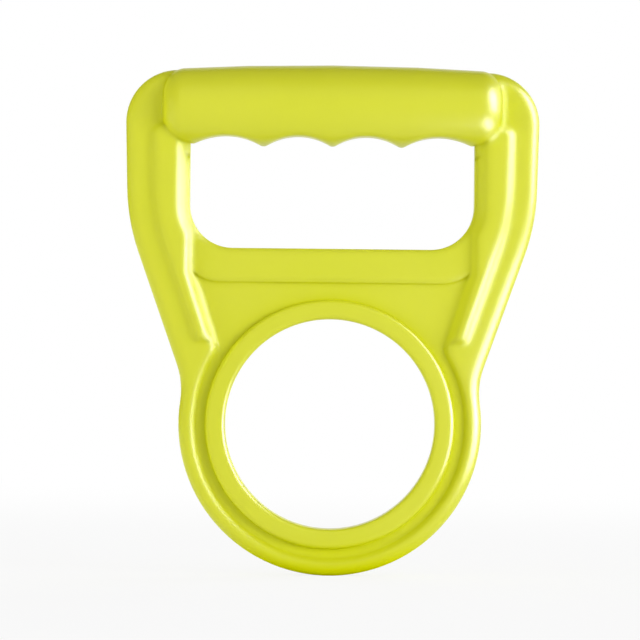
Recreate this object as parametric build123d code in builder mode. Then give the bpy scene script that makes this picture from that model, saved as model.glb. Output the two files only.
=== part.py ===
"""Carrying handle for a large water bottle.

A moulded frame slips over the bottle's neck with the ring at its lower end and is lifted by the
thick cross grip at its top.  Three mouldings make the product:

  frame             front moulding: tapered plate with raised arms, neck hub and the front of the
                    grip, open and ribbed at the back
  grip_back_cover   rounded shell that closes the hollow grip at the back
  neck_ring         collar bush that snaps into the frame's hub and bears on the bottle's neck

The origin is the centre of the neck bore.  X runs to the right, Z runs up towards the grip and
the front faces -Y.  A "level" is a distance in front of the origin, measured along -Y.
"""

import os
from math import cos, radians, sin, tan

from build123d import *

# ---------------------------------------------------------------- driving dimensions (mm, degrees)
# Neck ring
bore_radius = 30.2          # passes over the neck of a 19 litre bottle
bush_wall = 3.4             # sleeve that stands in the hub
collar_width = 5.6          # face of the collar, from the bore outwards
collar_rise = 2.8           # collar's face above the groove
ring_depth = 12.0           # bearing length on the neck
collar_round = 1.3
bore_chamfer = 1.3          # at the back of the bore
snap_height = 0.6           # bead that holds the bush behind the hub
snap_length = 1.4
fit_gap = 0.1               # clearance between the three mouldings

# Plan of the plate
groove_width = 2.8          # trough between the collar and the rim
rim_width = 5.0
flare_height = 58.0         # where the tapered arms turn upright
arm_width = 17.8            # between the hand opening and the edge, where the arms turn upright
taper_angle = 19.5          # of the arms' lower part, from the vertical
lean_angle = 1.4            # of the arms' upper part
top_height = 101.6
top_corner_round = 15.0
waist_round = 22.0          # between the round rim and the tapered arms
shoulder_round = 60.0

# Levels of the plate's front
web_drop = 1.8              # sunk web and groove, below the flange
border_drop = 0.8           # border of the hand opening, below the flange
edge_round = 3.2            # outer edge
pocket_round = 1.0          # edge of the sunk areas
border_round = 0.6

# Ridges along the arms
ridge_rise = 2.0            # above the flange
ridge_inset = 7.0           # from the plate's edge to the ridge's foot on the flange
ridge_draft = 38.0          # slope of the sides and of the web's edge, from the draw direction
ridge_bend_draft = 40.0     # of the upright inner side beside the border
ridge_flare = 45.0          # of the sides towards the hand opening
ridge_round = 1.2
ridge_foot_round = 1.2
ridge_end_height = 21.9     # lower end
ridge_end_width = 7.9       # of its foot
ridge_inner_angle = 18.0    # of the inner foot, from the vertical
ridge_bend_reach = 1.8      # where it turns upright, this far inside the hand opening's side
web_corner_round = 6.0      # of the web beside the ridges' lower ends
ridge_top_drop = 3.3        # upper end, below the grip's axis
ridge_top_round = 5.0

# Hand opening
opening_half_width = 41.0
opening_height = 32.3       # from the sill to the top of the finger hollows
sill_corner_round = 12.5
opening_top_round = 3.3
border_width = 9.8
border_corner_round = 13.0
sill_round = 0.6            # front edge of the sill and the opening's corners

# Grip
grip_rise = 1.7             # the grip's crown stands this far above the plate
grip_level = 2.5            # of its axis
grip_radius = 12.0
grip_half_length = 48.7
grip_crown = 1.5            # how much thinner the ends are than the middle
grip_end_round = 6.5
finger_pitch = 19.6
finger_depth = 3.5          # of the hollows, into the grip
finger_radius = 16.6
outer_finger_radius = 19.0
outer_finger_shift = 1.2    # the two outer hollows are a little wider
finger_tip_round = 2.0      # of the crests between the hollows
finger_edge_round = 1.0     # between the hollows and the grip's skin

# Walls, ribs and the joint of the grip's two shells
wall = 2.6
rib = 1.6
rib_setback = 0.8           # ribs stop short of the frame's back edge
ring_rib_count = 16
arm_rib_height = 50.0
arm_rib_pitch = 13.0
arm_rib_count = 4
grip_rib_places = (-41, -14, 14, 41)
seam_level = 0.0            # where the two shells of the grip meet
tongue_wall = 1.2
tongue_height = 1.6
stud_radius = 2.0           # studs of the cover, pressed into sockets of the frame
stud_reach = 6.0
stud_pitch = 30.0
socket_wall = 1.6

# ---------------------------------------------------------------- sizes that follow
grip_height = top_height + grip_rise - grip_radius
finger_top = grip_height - grip_radius + finger_depth
sill_height = finger_top - opening_height
flare_half_width = opening_half_width + arm_width
ridge_top_height = grip_height - ridge_top_drop
ridge_bend_inner = opening_half_width - ridge_bend_reach
back_level = -ring_depth / 2
collar_radius = bore_radius + collar_width
groove_radius = collar_radius + groove_width
rim_radius = groove_radius + rim_width
sleeve_radius = bore_radius + bush_wall
hub_radius = sleeve_radius + fit_gap
web_level = ring_depth / 2 - collar_rise
flange_level = web_level + web_drop
border_level = flange_level - border_drop
ridge_level = flange_level + ridge_rise
border_bottom = sill_height - border_width
web_top = finger_top - 2 * opening_top_round
stud_height = (finger_top + grip_height + grip_radius) / 2    # mid height of the grip's hollow
ridge_foot_inset = ridge_inset - web_drop * tan(radians(ridge_draft))
ridge_turn = ridge_foot_inset / cos(radians(taper_angle - lean_angle) / 2)
ridge_turn_angle = radians(taper_angle + lean_angle) / 2
ridge_turn_x = flare_half_width - ridge_turn * cos(ridge_turn_angle)
ridge_turn_height = flare_height + ridge_turn * sin(ridge_turn_angle)
ridge_end_outer = ridge_turn_x - (ridge_turn_height - ridge_end_height) * tan(radians(taper_angle))
ridge_end_inner = ridge_end_outer - ridge_end_width
web_lean = tan(radians(ridge_inner_angle))
ridge_bend_height = ridge_end_height + (ridge_bend_inner - ridge_end_inner) / web_lean
flare_reach = (web_drop + ridge_rise) * tan(radians(ridge_flare))
core_inset = wall + (ridge_level - wall - web_level) * tan(radians(ridge_draft))
web_margin = opening_half_width + wall               # reach of the sunk area under the ridges


def on_level(level):
    """Test for edges that lie in the plane of a level."""
    return lambda edge: abs(edge.center().Y + level) < 0.001 and abs(edge.tangent_at(0.5).Y) < 0.001


def between_fingers_and_skin(edge):
    """Whether an edge runs between the finger hollows and the grip's skin."""
    middle = edge.center()
    return (abs(middle.Z - finger_top) < grip_radius / 3 and abs(edge.tangent_at(0.5).Y) < 0.9
            and abs(middle.X) < opening_half_width - opening_top_round)


def edge_distance(edge):
    """How far an edge's middle lies inside the plate's outline, in plan."""
    middle = edge @ 0.5
    return plate_wire.distance_to(Vector(middle.X, middle.Z))


def plan_at(level):
    """Plane parallel to the plate, a level in front of the origin."""
    return Plane.XZ.offset(level)


def plate_outline():
    """Tapered arms on a round rim, with all corners blended."""
    foot = flare_half_width - flare_height * tan(radians(taper_angle))
    top = flare_half_width + (top_height - flare_height) * tan(radians(lean_angle))
    with BuildSketch() as outline:
        with BuildLine():
            Polyline(
                (-foot, 0), (foot, 0), (flare_half_width, flare_height), (top, top_height),
                (-top, top_height), (-flare_half_width, flare_height), close=True,
            )
        make_face()
        Circle(rim_radius)
        fillet(outline.vertices().filter_by(lambda v: 1 < v.Y < flare_height - 1), waist_round)
        fillet(outline.vertices().filter_by(lambda v: abs(v.Y - flare_height) < 1), shoulder_round)
        fillet(outline.vertices().filter_by(lambda v: v.Y > top_height - 1), top_corner_round)
    return outline.sketch


def opening_foot(top):
    """Lower part of the hand opening: upright sides, rounded corners and a straight sill."""
    with BuildSketch() as opening:
        with Locations((0, sill_height)):
            Rectangle(2 * opening_half_width, top - sill_height,
                      align=(Align.CENTER, Align.MIN))
        fillet(opening.vertices().sort_by(Axis.Y)[:2], sill_corner_round)
    return opening.sketch


def finger_hollows():
    """Upper part of the hand opening: four hollows for the fingers."""
    inner = finger_pitch / 2
    outer = inner + finger_pitch + outer_finger_shift
    inner_height = finger_top - finger_radius
    outer_height = finger_top - outer_finger_radius
    with BuildSketch() as opening:
        with Locations((-inner, inner_height), (inner, inner_height)):
            Circle(finger_radius)
        with Locations((-outer, outer_height), (outer, outer_height)):
            Circle(outer_finger_radius)
        with Locations((0, sill_height + sill_corner_round)):
            Rectangle(2 * opening_half_width, finger_top - sill_height - sill_corner_round + 1,
                      align=(Align.CENTER, Align.MIN), mode=Mode.INTERSECT)
        corners = opening.vertices().filter_by(lambda v: abs(v.X) > opening_half_width - 0.1)
        fillet(corners.sort_by(Axis.Y)[-2:], opening_top_round)
        tips = opening.vertices().filter_by(
            lambda v: abs(v.X) < outer - 1 and v.Y > finger_top - grip_radius)
        fillet(tips, finger_tip_round)
    return opening.sketch


def ridge_foot():
    """Plan of the right ridge at the level of the sunk web, which it borders."""
    top = ridge_turn_x + (ridge_top_height - ridge_turn_height) * tan(radians(lean_angle))
    with BuildSketch() as foot:
        with BuildLine():
            Polyline(
                (ridge_bend_inner, ridge_top_height), (ridge_bend_inner, ridge_bend_height),
                (ridge_end_inner, ridge_end_height), (ridge_end_outer, ridge_end_height),
                (ridge_turn_x, ridge_turn_height), (top, ridge_top_height), close=True,
            )
        make_face()
        fillet(foot.vertices().sort_by(Axis.X)[-1], ridge_top_round)
        fillet(foot.vertices().filter_by(lambda v: abs(v.Y - ridge_turn_height) < 0.1),
               shoulder_round)
    return foot.sketch


def sunk_web():
    """Groove round the collar, the web between the ridges and the hand opening above it."""
    web_foot = ridge_bend_inner - ridge_bend_height * web_lean
    under_ridge = ridge_bend_height + web_margin - ridge_bend_inner
    with BuildSketch() as web:
        with BuildLine():
            Polyline(
                (-web_foot, 0), (web_foot, 0), (ridge_bend_inner, ridge_bend_height),
                (web_margin, under_ridge), (web_margin, web_top), (-web_margin, web_top),
                (-web_margin, under_ridge), (-ridge_bend_inner, ridge_bend_height), close=True,
            )
        make_face()
        Circle(groove_radius)
        fillet(web.vertices().filter_by(lambda v: 1 < v.Y < ridge_bend_height - 1),
               web_corner_round)
    return web.sketch


def border_plan():
    """Band below the hand opening, with rounded lower corners."""
    with BuildSketch() as border:
        with Locations((0, border_bottom)):
            Rectangle(2 * web_margin + wall, web_top - border_bottom,
                      align=(Align.CENTER, Align.MIN))
        fillet(border.vertices().sort_by(Axis.Y)[:2], border_corner_round)
    return border.sketch


def back_ribs():
    """Radial ribs round the hub and level ribs across the arms, as seen from the back."""
    with BuildSketch() as ribs:
        with PolarLocations(rim_radius / 2, ring_rib_count, start_angle=180 / ring_rib_count):
            Rectangle(rim_radius * 2, rib, align=(Align.MIN, Align.CENTER))
        with Locations((0, arm_rib_height)):
            Rectangle(4 * flare_half_width, 2 * top_height, align=(Align.CENTER, Align.MIN),
                      mode=Mode.SUBTRACT)
        with Locations(*[(0, arm_rib_height + i * arm_rib_pitch) for i in range(arm_rib_count)]):
            Rectangle(2 * flare_half_width, rib)
    return ribs.sketch


def back_cavity():
    """What the plate's outer walls, the hub's wall and the sill's wall enclose."""
    with BuildSketch() as cavity:
        add(plate_outline())
        offset(amount=-wall)
        with Locations((0, sill_height - wall)):
            Rectangle(2 * (opening_half_width + wall), top_height, align=(Align.CENTER, Align.MIN),
                      mode=Mode.SUBTRACT)
        Circle(hub_radius + wall, mode=Mode.SUBTRACT)
    return cavity.sketch


def raised_cavity():
    """The part of the cavity that lies behind the flange and the ridges."""
    with BuildSketch() as cavity:
        add(back_cavity())
        with BuildSketch(mode=Mode.SUBTRACT):
            add(sunk_web())
            offset(amount=wall)
    return cavity.sketch


def ridge_core():
    """Hollow inside both ridges, a wall away from their slopes."""
    with BuildSketch() as core:
        add(ridge_foot())
        offset(amount=-core_inset)
        with BuildSketch(mode=Mode.SUBTRACT):
            add(opening_foot(top_height))
            offset(amount=flare_reach)
        mirror(about=Plane.YZ)
    return core.sketch


def grip_barrel(growth=0.0):
    """Barrel crowned in four straight runs, with domed ends; growth moves its skin outwards."""
    radius = grip_radius + growth
    half = grip_half_length + growth
    crown = [(half * place, radius - grip_crown * place**2 - grip_level)
             for place in (1, 0.5, 0, -0.5, -1)]
    with BuildPart() as barrel:
        with BuildSketch(Plane.XY.offset(grip_height)) as profile:
            with BuildLine():
                Polyline((half, -grip_level), *crown, (-half, -grip_level), close=True)
            make_face()
            ends = profile.vertices().filter_by(lambda v: v.Y > 0 and abs(v.X) > half - 0.1)
            fillet(ends, grip_end_round + growth)
        revolve(axis=Axis((0, -grip_level, grip_height), (1, 0, 0)))
    return barrel.part


def grip_inside(inset):
    """Space inside the grip, an inset behind its skin and above its finger hollows."""
    with BuildPart() as inside:
        add(grip_barrel(-inset))
        split(bisect_by=Plane.XY.offset(finger_top + inset), keep=Keep.TOP)
    return inside.part


plate_wire = plate_outline().wire()
stud_places = [(x, stud_height) for x in (-stud_pitch, 0, stud_pitch)]

# ---------------------------------------------------------------- frame
with BuildPart() as web_cut:
    with BuildSketch(plan_at(web_level)):
        add(sunk_web())
    extrude(amount=web_drop)
    draft(web_cut.faces().filter_by(Axis.Y, reverse=True), plan_at(web_level), -ridge_draft)

with BuildPart() as flare:
    with BuildSketch(plan_at(web_level)):
        add(opening_foot(top_height))
    extrude(amount=web_drop + 2 * ridge_rise)
    draft(flare.faces().filter_by(Axis.Y, reverse=True), plan_at(web_level), -ridge_flare)

with BuildPart() as border:
    with BuildSketch(plan_at(web_level)):
        add(border_plan())
    extrude(amount=web_drop - border_drop)
    fillet(border.edges().filter_by(on_level(border_level)).filter_by(
        lambda e: e.center().Z < border_bottom + border_corner_round), border_round)
    add(web_cut.part, mode=Mode.INTERSECT)

with BuildPart() as ridge:
    with BuildSketch(plan_at(web_level)):
        add(ridge_foot())
    extrude(amount=web_drop + ridge_rise)
    upright = ridge.faces().filter_by(Axis.X).sort_by(Axis.X)[0]
    draft(upright, plan_at(web_level), ridge_bend_draft)
    draft(ridge.faces().filter_by(Axis.Y, reverse=True).filter_by(
        lambda f: abs(f.center().X - ridge_bend_inner) > ridge_rise / 2
        or f.center().Z < ridge_bend_height), plan_at(web_level), ridge_draft)
    add(flare.part, mode=Mode.SUBTRACT)
    with BuildSketch(plan_at(web_level)):
        add(opening_foot(top_height))
    extrude(amount=web_drop + ridge_rise, mode=Mode.SUBTRACT)
    fillet(ridge.faces().sort_by(Axis.Y)[0].edges(), ridge_round)

with BuildPart() as grip_back:
    add(grip_barrel(fit_gap))
    split(bisect_by=plan_at(seam_level), keep=Keep.BOTTOM)

with BuildPart() as grip_hollow:
    add(grip_inside(wall))
    with Locations(*[(x, 0, grip_height) for x in grip_rib_places]):
        Box(rib, 4 * grip_radius, 4 * grip_radius, mode=Mode.SUBTRACT)
    with BuildSketch(plan_at(back_level - grip_radius)):
        with Locations(*stud_places):
            Circle(stud_radius + fit_gap + socket_wall)
    extrude(amount=4 * grip_radius, mode=Mode.SUBTRACT)

with BuildPart() as tongue_seat:
    add(grip_inside(wall - tongue_wall - fit_gap))
    split(bisect_by=plan_at(seam_level + tongue_height + fit_gap), keep=Keep.BOTTOM)

with BuildPart() as frame:
    # plate with its rounded front edge
    with BuildSketch(plan_at(back_level)):
        add(plate_outline())
    extrude(amount=flange_level - back_level)
    fillet(frame.faces().sort_by(Axis.Y)[0].edges(), edge_round)

    # sunk web and groove, the border of the hand opening, the ridges
    add(web_cut.part, mode=Mode.SUBTRACT)
    fillet(frame.edges().filter_by(on_level(flange_level)).filter_by(
        lambda e: e.center().Z < sill_height and edge_distance(e) > edge_round + 0.1), pocket_round)
    add(border.part)
    with BuildSketch(plan_at(back_level)):
        add(opening_foot(finger_top))
    extrude(amount=2 * ring_depth, mode=Mode.SUBTRACT)
    fillet(frame.edges().filter_by(on_level(border_level)).filter_by(
        lambda e: e.center().Z > sill_height - 1
        and abs(e.center().X) < opening_half_width + 0.1), sill_round)
    add(ridge.part)
    mirror(ridge.part, about=Plane.YZ)
    fillet(frame.edges().filter_by(on_level(flange_level)).filter_by(
        lambda e: edge_distance(e) > edge_round + 1 and e.center().Z > sill_height
        and abs(e.center().X) > opening_half_width + wall), ridge_foot_round)

    # open back: cavity with ribs, deeper behind the flange and inside the ridges
    with BuildSketch(plan_at(back_level)):
        add(back_cavity())
    extrude(amount=rib_setback, mode=Mode.SUBTRACT)
    for level, top, cavity in (
        (back_level, web_level - wall, back_cavity()),
        (web_level - wall, flange_level - wall, raised_cavity()),
        (flange_level - wall, ridge_level - wall, ridge_core()),
    ):
        with BuildSketch(plan_at(level)):
            add(cavity)
            add(back_ribs(), mode=Mode.SUBTRACT)
        extrude(amount=top - level, mode=Mode.SUBTRACT)

    # grip between the arms
    with BuildSketch(plan_at(back_level)):
        with Locations((0, finger_top)):
            Rectangle(2 * opening_half_width, top_height, align=(Align.CENTER, Align.MIN))
    extrude(amount=2 * ring_depth, mode=Mode.SUBTRACT)
    add(grip_barrel())
    with BuildSketch(plan_at(grip_level - 2 * grip_radius)):
        add(finger_hollows())
    extrude(amount=4 * grip_radius, mode=Mode.SUBTRACT)
    fillet(frame.edges().filter_by(between_fingers_and_skin).filter_by(
        lambda e: e.center().Y < -grip_level), finger_edge_round)
    with BuildSketch(plan_at(back_level)):
        Circle(hub_radius)
    extrude(amount=2 * ring_depth, mode=Mode.SUBTRACT)

    # hollow of the grip, with cross ribs and sockets, and the seat of its back cover
    add(grip_back.part, mode=Mode.SUBTRACT)
    add(grip_hollow.part, mode=Mode.SUBTRACT)
    add(tongue_seat.part, mode=Mode.SUBTRACT)
    with BuildSketch(plan_at(seam_level)):
        with Locations(*stud_places):
            Circle(stud_radius + fit_gap)
    extrude(amount=stud_reach + fit_gap, mode=Mode.SUBTRACT)

    # shorter hub wall, behind which the neck ring's bead snaps
    with BuildSketch(plan_at(back_level)):
        Circle(hub_radius + wall)
    extrude(amount=snap_length + fit_gap, mode=Mode.SUBTRACT)
frame.part.label = "frame"

# ---------------------------------------------------------------- grip back cover
with BuildPart() as tongue:
    add(grip_inside(wall - tongue_wall))
    split(bisect_by=plan_at(seam_level), keep=Keep.TOP)
    split(bisect_by=plan_at(seam_level + tongue_height), keep=Keep.BOTTOM)

with BuildPart() as cover_hollow:
    add(grip_inside(wall))
    with BuildSketch(plan_at(back_level - grip_radius)):
        with Locations(*stud_places):
            Circle(stud_radius + socket_wall)
    extrude(amount=4 * grip_radius, mode=Mode.SUBTRACT)

with BuildPart() as grip_back_cover:
    add(grip_barrel())
    split(bisect_by=plan_at(seam_level), keep=Keep.BOTTOM)
    with BuildSketch(plan_at(grip_level - 2 * grip_radius)):
        add(finger_hollows())
    extrude(amount=4 * grip_radius, mode=Mode.SUBTRACT)
    fillet(grip_back_cover.edges().filter_by(between_fingers_and_skin).filter_by(
        lambda e: e.center().Y > 1), finger_edge_round)
    add(tongue.part)
    add(cover_hollow.part, mode=Mode.SUBTRACT)
    with BuildSketch(plan_at(seam_level + tongue_height)):
        with Locations(*stud_places):
            Circle(stud_radius)
    extrude(amount=stud_reach - tongue_height)
grip_back_cover.part.label = "grip_back_cover"

# ---------------------------------------------------------------- neck ring
with BuildPart() as neck_ring:
    with BuildSketch(Plane.XY) as section:
        with BuildLine():
            Polyline(
                (bore_radius, -ring_depth / 2), (collar_radius, -ring_depth / 2),
                (collar_radius, -web_level), (sleeve_radius, -web_level),
                (sleeve_radius, ring_depth / 2 - snap_length),
                (sleeve_radius + snap_height, ring_depth / 2 - snap_length),
                (sleeve_radius, ring_depth / 2), (bore_radius, ring_depth / 2), close=True,
            )
        make_face()
        fillet(section.vertices().group_by(Axis.Y)[0], collar_round)
        chamfer(section.vertices().filter_by(
            lambda v: v.X < bore_radius + 0.1 and v.Y > 0), bore_chamfer)
    revolve(axis=Axis.Y)
neck_ring.part.label = "neck_ring"

# ---------------------------------------------------------------- files
os.makedirs("parts", exist_ok=True)
for piece in (frame, grip_back_cover, neck_ring):
    export_step(piece.part, f"parts/{piece.part.label}.step")
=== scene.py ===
"""Looks of the bottle carrying handle: three satin lime mouldings standing on a pale floor."""

import math

import bpy
from mathutils import Euler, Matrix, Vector


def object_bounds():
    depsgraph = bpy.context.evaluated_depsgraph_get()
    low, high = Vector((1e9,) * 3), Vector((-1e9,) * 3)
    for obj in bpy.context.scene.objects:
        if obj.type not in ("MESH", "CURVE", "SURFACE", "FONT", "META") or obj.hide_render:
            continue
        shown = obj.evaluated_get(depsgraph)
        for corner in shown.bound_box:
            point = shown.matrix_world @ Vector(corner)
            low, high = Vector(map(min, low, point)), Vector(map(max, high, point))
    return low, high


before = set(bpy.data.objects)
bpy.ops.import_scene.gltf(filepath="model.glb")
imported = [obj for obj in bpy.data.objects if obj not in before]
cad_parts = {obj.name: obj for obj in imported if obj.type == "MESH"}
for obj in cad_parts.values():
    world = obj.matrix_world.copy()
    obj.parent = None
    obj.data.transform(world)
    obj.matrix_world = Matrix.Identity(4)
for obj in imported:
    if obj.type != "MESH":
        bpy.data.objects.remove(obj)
cad_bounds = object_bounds()

# ---------------------------------------------------------------- camera (metres, degrees)
view_distance = 1.6
view_width = 0.1845                 # what the view spans at the handle
view_centre = (-0.0031, 0.0300)     # X and Z at the middle of the view
view_roll = 0.6                     # the handle leans this much to the right
view_clip = 20.0
sensor_width = 36.0                 # in millimetres, as the lens is

# ---------------------------------------------------------------- floor (metres)
floor_size = 8.0
floor_near = 0.25                   # the board shows up to here round the handle
floor_far = 0.90                    # and is plain white from here
floor_glow = 0.84                   # share of white in the board round the handle
board_white = (0.92, 0.92, 0.92)

# ---------------------------------------------------------------- plastic (metres, degrees)
crease_angle = 38.0                 # sharper edges than this stay crisp
weld_distance = 2e-6

lime = (0.700, 0.715, 0.0300)
lime_deep = (0.660, 0.695, 0.0120)
# Painted shade: a matt, deeper lime without gloss, laid where the walls stand close, in place of
# the shade and lost reflections in nooks and creases
nook_painted_shade = (0.680, 0.705, 0.0000)  # where the walls stand close and light is scarce
painted_shade_reach = 0.014                  # walls farther off than this don't count
painted_shade_closed, painted_shade_open = 0.30, 0.97     # share of open sky: all painted shade, all satin

frame_edge_round = 0.0034           # the frame's steps run softly into one another
ring_edge_round = 0.0011
shading_rays = 8                    # for the rounded edges and for the open sky

cloud_scale, cloud_detail = 32.0, 3.0
flow_scale, flow_detail = 240.0, 4.0
flow_stretch = (1.0, 1.0, 0.25)     # flow marks run four times as long up the handle
grain_scale, grain_detail = 1500.0, 2.0
skin_strength, skin_depth = 0.25, 0.00003
skin_grain, skin_flow = 0.6, 0.4    # shares of grain and flow marks in the skin's height

satin_smooth, satin_spread = 0.27, 0.10     # least roughness, and what the flow marks add
plastic_ior = 1.50
light_depth = (0.0030, 0.0032, 0.0004)      # how far red, green and blue wander in the wall
light_depth_weight = 0.12

# ---------------------------------------------------------------- studio (metres, watts)
sky_light = 0.47
full_white = 1.0
felt_black = (0.012, 0.012, 0.012)

# Flags: place, width, height
flags = {
    "flag_left": ((-0.55, 0.10, 0.15), 1.6, 1.2),
    "flag_top": ((0.0, 0.10, 0.75), 1.4, 1.2),
}

# Soft boxes: place, width, height, power, and whether they wash matt surfaces or show in gloss
soft_boxes = {
    "key": ((1.20, -1.00, 0.14), 1.0, 0.8, 18.6, "wash"),
    "side": ((1.05, -0.10, 0.36), 1.5, 0.8, 11.0, "gloss"),
    "side_front": ((1.0, -0.30, 0.42), 0.75, 1.0, 40.0, "gloss"),
    "fill_wash": ((-1.05, -0.30, 0.06), 0.8, 0.5, 6.5, "wash"),
    "low_strip": ((0.125, -0.060, -0.004), 0.12, 0.07, 0.44, "gloss"),
    "back_wash": ((0.55, 1.35, 0.45), 1.0, 0.8, 10.0, "wash"),
}
# They look at the handle's middle, but for the strip, which shows in the gloss of the right
# ridge's lower half
own_targets = {"low_strip": (0.040, -0.006, 0.045)}


# ---------------------------------------------------------------- shader tools
class Signal:
    """A shader socket that takes part in sums and products; each operation adds a Math node."""

    def __init__(self, maker, socket):
        self.maker = maker
        self.socket = socket

    def math(self, operation, *values):
        return self.maker.node("ShaderNodeMath", {"operation": operation}, values)

    def __add__(self, other):
        return self.math("ADD", self, other)

    def __mul__(self, other):
        return self.math("MULTIPLY", self, other)

    __radd__ = __add__
    __rmul__ = __mul__


class Maker:
    """Builds one material's or the world's node tree."""

    def __init__(self, owner):
        owner.use_nodes = True
        self.tree = owner.node_tree
        self.tree.nodes.clear()

    def node(self, kind, settings=None, values=(), output=0):
        """Adds a node: its settings first, then its inputs by position or, in a dict, by name."""
        node = self.tree.nodes.new(kind)
        for name, value in (settings or {}).items():
            setattr(node, name, value)
        pairs = values.items() if isinstance(values, dict) else enumerate(values)
        for key, value in pairs:
            if isinstance(value, Signal):
                self.tree.links.new(value.socket, node.inputs[key])
            else:
                node.inputs[key].default_value = value
        return Signal(self, node.outputs[output]) if len(node.outputs) else None

    def place(self):
        """Position in the piece's own coordinates."""
        return self.node("ShaderNodeTexCoord", output="Object")

    def noise(self, place, scale, detail):
        """Soft random pattern between 0 and 1."""
        return self.node("ShaderNodeTexNoise", {},
                         {"Vector": place, "Scale": scale, "Detail": detail})

    def shown_ray(self):
        """1 on rays from the camera and on those that a reflection or glass sends on."""
        camera, glossy, glass = (
            self.node("ShaderNodeLightPath", output=f"Is {ray} Ray")
            for ray in ("Camera", "Glossy", "Transmission"))
        return camera.math("MAXIMUM", camera, glossy.math("MAXIMUM", glossy, glass))

    def colours(self, factor, first, second):
        """Mix of two plain colours; sockets 6 and 7 and output 2 are the node's colour ones."""
        return self.node("ShaderNodeMix", {"data_type": "RGBA"},
                         {0: factor, 6: (*first, 1), 7: (*second, 1)}, output=2)


# ---------------------------------------------------------------- materials
def lime_plastic(name, edge_round):
    """Satin injection-moulded plastic: clouded colour, faint flow marks and a fine skin grain.

    Where the walls stand close together it is painted a matt, deeper lime without gloss: painted
    shade for nooks and creases.
    """
    material = bpy.data.materials.new(name)
    m = Maker(material)
    place = m.place()
    cloud = m.noise(place, cloud_scale, cloud_detail)
    flow_place = m.node("ShaderNodeMapping", {}, {"Vector": place, "Scale": flow_stretch})
    flow = m.noise(flow_place, flow_scale, flow_detail)
    grain = m.noise(place, grain_scale, grain_detail)
    round_edges = m.node("ShaderNodeBevel", {"samples": shading_rays}, {"Radius": edge_round})
    # Open sky round each point sets how much painted shade a nook gets
    open_sky = m.node("ShaderNodeAmbientOcclusion", {"samples": shading_rays},
                      {"Distance": painted_shade_reach}, output="AO")
    painted_shade_mix = m.node("ShaderNodeMapRange", {}, {
        "Value": open_sky, "From Min": painted_shade_closed, "From Max": painted_shade_open})
    skin = m.node("ShaderNodeBump", {}, {
        "Strength": skin_strength,
        "Distance": skin_depth,
        "Height": grain * skin_grain + flow * skin_flow,
        "Normal": round_edges,
    })
    satin = m.node("ShaderNodeBsdfPrincipled", {}, {
        "Base Color": m.colours(cloud, lime_deep, lime),
        "Roughness": flow * satin_spread + satin_smooth,
        "Normal": skin,
        "IOR": plastic_ior,
        "Subsurface Weight": light_depth_weight,
        "Subsurface Radius": light_depth,
        "Subsurface Scale": 1.0,
    })
    # Painted shade: matt, gloss-free deeper lime for the nooks
    matt_painted_shade = m.node("ShaderNodeBsdfPrincipled", {}, {
        "Base Color": (*nook_painted_shade, 1),
        "Roughness": 1.0,
        "Specular IOR Level": 0.0,
        "Normal": skin,
    })
    shader = m.node("ShaderNodeMixShader", {}, (painted_shade_mix, matt_painted_shade, satin))
    m.node("ShaderNodeOutputMaterial", {}, {"Surface": shader})
    return material


def pale_floor():
    """Matt pale board that takes the handle's shadow and runs out into the white surroundings."""
    material = bpy.data.materials.new("pale_floor")
    m = Maker(material)
    distance = m.node("ShaderNodeVectorMath", {"operation": "LENGTH"}, (m.place(),),
                      output="Value")
    far = m.node("ShaderNodeMapRange", {"interpolation_type": "SMOOTHSTEP"},
                 {"Value": distance, "From Min": floor_near, "From Max": floor_far})
    board = m.node("ShaderNodeBsdfDiffuse", {}, {"Color": (*board_white, 1)})
    white = m.node("ShaderNodeEmission", {}, {"Color": (1, 1, 1, 1), "Strength": full_white})
    blend = far * (1.0 - floor_glow) + floor_glow
    mixed = m.node("ShaderNodeMixShader", {}, (blend * m.shown_ray(), board, white))
    m.node("ShaderNodeOutputMaterial", {}, {"Surface": mixed})
    return material


def dark_card():
    """Black felt of the studio's flags."""
    material = bpy.data.materials.new("dark_card")
    m = Maker(material)
    felt = m.node("ShaderNodeBsdfDiffuse", {}, {"Color": (*felt_black, 1)})
    m.node("ShaderNodeOutputMaterial", {}, {"Surface": felt})
    return material


# ---------------------------------------------------------------- handle
def crease_modifier():
    """Node group: joins the triangles at their corners and shades them smooth up to an angle."""
    group = bpy.data.node_groups.new("soft_shading", "GeometryNodeTree")
    for side in ("INPUT", "OUTPUT"):
        group.interface.new_socket("Geometry", in_out=side, socket_type="NodeSocketGeometry")
    nodes, links = group.nodes, group.links
    start = nodes.new("NodeGroupInput")
    bare = nodes.new("GeometryNodeRemoveAttribute")
    bare.inputs["Name"].default_value = "custom_normal"
    weld = nodes.new("GeometryNodeMergeByDistance")
    weld.inputs["Distance"].default_value = weld_distance
    angle = nodes.new("GeometryNodeInputMeshEdgeAngle")
    soft = nodes.new("FunctionNodeCompare")
    soft.operation = "LESS_THAN"
    soft.inputs[1].default_value = math.radians(crease_angle)
    faces = nodes.new("GeometryNodeSetShadeSmooth")
    edges = nodes.new("GeometryNodeSetShadeSmooth")
    edges.domain = "EDGE"
    end = nodes.new("NodeGroupOutput")
    chain = (start, bare, weld, faces, edges, end)
    for before, after in zip(chain, chain[1:]):
        links.new(before.outputs[0], after.inputs[0])
    links.new(angle.outputs["Unsigned Angle"], soft.inputs[0])
    links.new(soft.outputs[0], edges.inputs["Shade Smooth"])
    return group


def dress(node, material, group):
    """Gives a CAD node its material and soft shading."""
    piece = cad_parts[node]
    for slot in piece.material_slots:
        slot.material = material
    piece.modifiers.new("soft_shading", "NODES").node_group = group


soft_plastic = lime_plastic("lime_plastic_soft", frame_edge_round)
crisp_plastic = lime_plastic("lime_plastic_crisp", ring_edge_round)
shading = crease_modifier()
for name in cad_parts:
    dress(name, soft_plastic if name == "frame" else crisp_plastic, shading)


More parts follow.
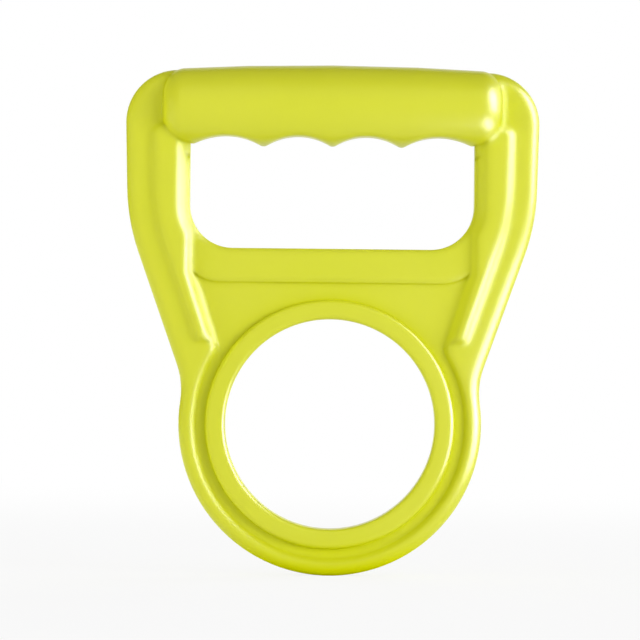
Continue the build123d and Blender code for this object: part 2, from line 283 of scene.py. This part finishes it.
# ---------------------------------------------------------------- studio
def turn(place, target, front):
    """Rotation that turns an axis of an object at a place towards a target."""
    return (Vector(target) - Vector(place)).to_track_quat(front, "Y").to_euler()


def floor(level):
    """Wide board at the handle's lowest point."""
    bpy.ops.mesh.primitive_plane_add(size=floor_size, location=(0, 0, level))
    board = bpy.context.object
    board.name = "floor"
    board.data.materials.append(pale_floor())


def flag(name, place, width, height, target, felt):
    """Dark card that only darkens reflections: no shadow, and the camera doesn't see it."""
    bpy.ops.mesh.primitive_plane_add(size=1.0)
    card = bpy.context.object
    card.name = name
    card.scale = (width, height, 1)
    card.location = place
    card.rotation_euler = turn(place, target, "Z")
    card.visible_camera = False
    card.visible_diffuse = False
    card.visible_shadow = False
    card.data.materials.append(felt)


def lamp(name, place, width, height, power, use, target):
    """Soft box that looks at a point and either washes matt surfaces or shows in gloss."""
    data = bpy.data.lights.new(name, "AREA")
    data.shape = "RECTANGLE"
    data.size = width
    data.size_y = height
    data.energy = power
    box = bpy.data.objects.new(name, data)
    box.location = place
    box.rotation_euler = turn(place, target, "-Z")
    box.visible_camera = False
    box.visible_diffuse = use == "wash"
    box.visible_glossy = use == "gloss"
    bpy.context.collection.objects.link(box)


def surroundings():
    """White to the camera and in reflections, a soft grey light on everything else."""
    world = bpy.data.worlds.new("studio")
    bpy.context.scene.world = world
    m = Maker(world)
    light, white = (
        m.node("ShaderNodeBackground", {}, {"Color": (1, 1, 1, 1), "Strength": strength})
        for strength in (sky_light, full_white))
    mixed = m.node("ShaderNodeMixShader", {}, (m.shown_ray(), light, white))
    m.node("ShaderNodeOutputWorld", {}, (mixed,))


def camera():
    """Long lens square to the front, rolled as the handle leans."""
    data = bpy.data.cameras.new("camera")
    data.sensor_width = sensor_width
    data.lens = sensor_width * view_distance / view_width
    data.clip_end = view_clip
    eye = bpy.data.objects.new("camera", data)
    x, z = view_centre
    eye.location = (x, -view_distance, z)
    level = Euler((math.radians(90), 0, 0)).to_matrix()
    roll = Euler((0, 0, math.radians(view_roll))).to_matrix()
    eye.rotation_euler = (level @ roll).to_euler()
    bpy.context.collection.objects.link(eye)
    bpy.context.scene.camera = eye


low, high = cad_bounds
middle = [(a + b) / 2 for a, b in zip(low, high)]
floor(low[2])
card_felt = dark_card()
for name, setting in flags.items():
    flag(name, *setting, middle, card_felt)
for name, setting in soft_boxes.items():
    lamp(name, *setting, own_targets.get(name, middle))
surroundings()
camera()
bpy.context.scene.view_settings.view_transform = "Standard"
